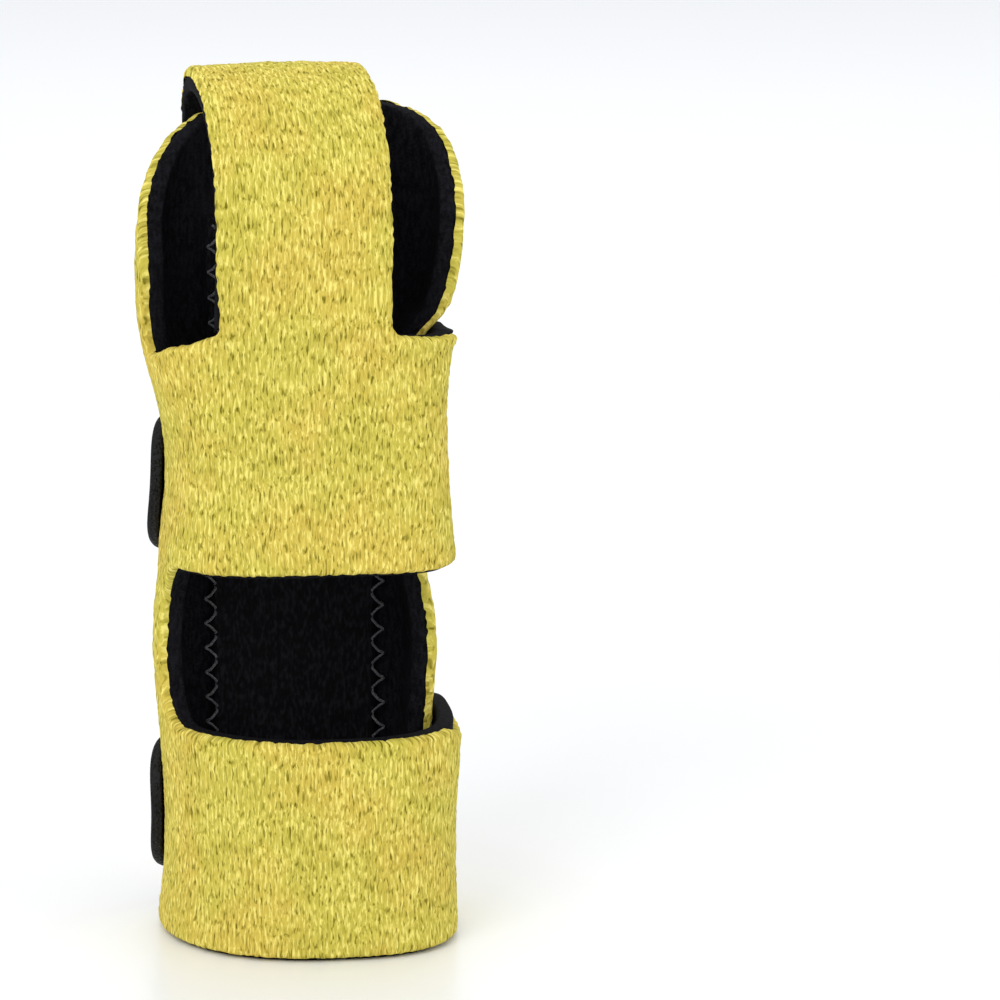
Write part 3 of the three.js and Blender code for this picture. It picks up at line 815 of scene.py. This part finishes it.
# ---- Seams of the hook tabs and of the hook patch ----
# Zigzag rows of pale yellow nylon thread through the cloth: one across each band's end, over
# the root of its hook tab, and two across the strap over its hook patch. The stitches press
# into the pile, so that only their arches show.
SEAM_EDGE, SEAM_END, SEAM_SWING, YELLOW_THREAD_RADIUS = 1.9, 0.9, 0.55, 0.14
fair = Finish("yellow_thread", Roughness=0.5, Specular_IOR_Level=0.3)
fair_place = fair.add("TexCoord", {}, {}, 3)
fair_twist = fair.noise(fair_place, 6500, 1.0)
YELLOW_THREAD = fair.feed(Base_Color=fair.blend(
    fair_twist.step(0.3, 0.7), (0.50, 0.41, 0.07, 1), (0.83, 0.72, 0.25, 1)))
cloth_seams = []
for which, (_, middle) in BANDS.items():
    seam_half = TAB_HEIGHT / 2 - SEAM_END
    z = middle + np.arange(-seam_half, seam_half, 0.1)
    swing, arch = zigzag(z)
    turn = BAND_END - turn_of(SEAM_EDGE) + turn_of(SEAM_SWING) * swing
    path = on_sleeve(turn, z, LAMINATE + arch, lift(turn))
    beside = on_sleeve(turn + 0.3, z, LAMINATE + arch, lift(turn))
    outward = np.cross(beside - path, np.array([0, 0, 1.0]))
    cloth_seams.append((f"{which}_tab_seam", path, outward))
for name, place in (("upper", STRAP_LENGTH - SEAM_EDGE), ("lower", STRAP_LENGTH - 13.6)):
    x = np.arange(SEAM_END - half, half - SEAM_END, 0.1)
    swing, arch = zigzag(x)
    path = on_strap(x / half, place + SEAM_SWING * swing, -arch)
    outward = path - on_strap(x / half, place + SEAM_SWING * swing, 0.5 - arch)
    cloth_seams.append((f"strap_seam_{name}", path, outward))
for name, path, outward in cloth_seams:
    outward = outward / np.linalg.norm(outward, axis=1)[:, None]
    seam = lay_grid(name, thread(path, outward, YELLOW_THREAD_RADIUS), ring=True)
    seam.data.materials.append(YELLOW_THREAD)

# ---- Floor, light and camera ----
# A pale studio floor, soft daylight from all round and a broad lamp from the upper left. The
# camera stands a little left of the front and 13 degrees above it.
floor_mesh = bpy.data.meshes.new("studio_floor")
floor_mesh.from_pydata([(-3, -3, 0), (3, -3, 0), (3, 3, 0), (-3, 3, 0)], [], [(0, 1, 2, 3)])
floor = bpy.data.objects.new("studio_floor", floor_mesh)
bpy.context.scene.collection.objects.link(floor)
paper = Finish("studio_paper", Roughness=0.28, Specular_IOR_Level=0.35)
paper_tone = paper.noise(paper.add("TexCoord", {}, {}, 3), 3.0, 2.0)
floor.data.materials.append(paper.feed(Base_Color=paper.blend(
    paper_tone, (0.90, 0.90, 0.90, 1), (0.93, 0.93, 0.93, 1))))

world = bpy.data.worlds.new("daylight")
world.use_nodes = True
world.node_tree.nodes["Background"].inputs["Color"].default_value = (0.95, 0.97, 1.0, 1)
world.node_tree.nodes["Background"].inputs["Strength"].default_value = 0.95
bpy.context.scene.world = world
bpy.context.scene.view_settings.view_transform = "Standard"


def lamp(name, place, aim, size, power, colour=(1, 1, 1)):
    """Square area lamp at a place in metres, turned towards its aim."""
    data = bpy.data.lights.new(name, "AREA")
    data.size, data.energy, data.color = size, power, colour
    light = bpy.data.objects.new(name, data)
    bpy.context.scene.collection.objects.link(light)
    light.location = place
    light.rotation_euler = (Vector(aim) - Vector(place)).to_track_quat("-Z", "Y").to_euler()


lamp("key", (-0.35, -0.45, 0.5), (0, 0, 0.045), 0.35, 1.5)
lamp("fill", (0.5, -0.3, 0.25), (0, 0, 0.045), 0.4, 0.4)
lamp("back", (0.1, 0.5, 0.45), (0, 0, 0.045), 0.4, 0.6)

# The picture is 1000 points wide, and the splint stands left of its middle
AZIMUTH, ELEVATION, DISTANCE = radians(-7), radians(13), 0.46
FOCAL_POINTS, POINTS_LEFT, POINTS_UP = 4715, 196.5, 1
target = Vector((0, 0, 0.043))
to_eye = Vector((sin(AZIMUTH) * cos(ELEVATION), -cos(AZIMUTH) * cos(ELEVATION), sin(ELEVATION)))
right_way = Vector((cos(AZIMUTH), sin(AZIMUTH), 0))
up_way = to_eye.cross(right_way)
lens = bpy.data.cameras.new("photo_camera")
lens.sensor_width, lens.lens = 36, 169.74
lens.clip_start = 0.01
camera = bpy.data.objects.new("photo_camera", lens)
bpy.context.scene.collection.objects.link(camera)
aim = (-to_eye * FOCAL_POINTS + right_way * POINTS_LEFT - up_way * POINTS_UP).normalized()
side_way = aim.cross(Vector((0, 0, 1))).normalized()
camera.matrix_world = Matrix.Translation(target + to_eye * DISTANCE) @ Matrix(
    (side_way, side_way.cross(aim), -aim)).transposed().to_4x4()
bpy.context.scene.camera = camera
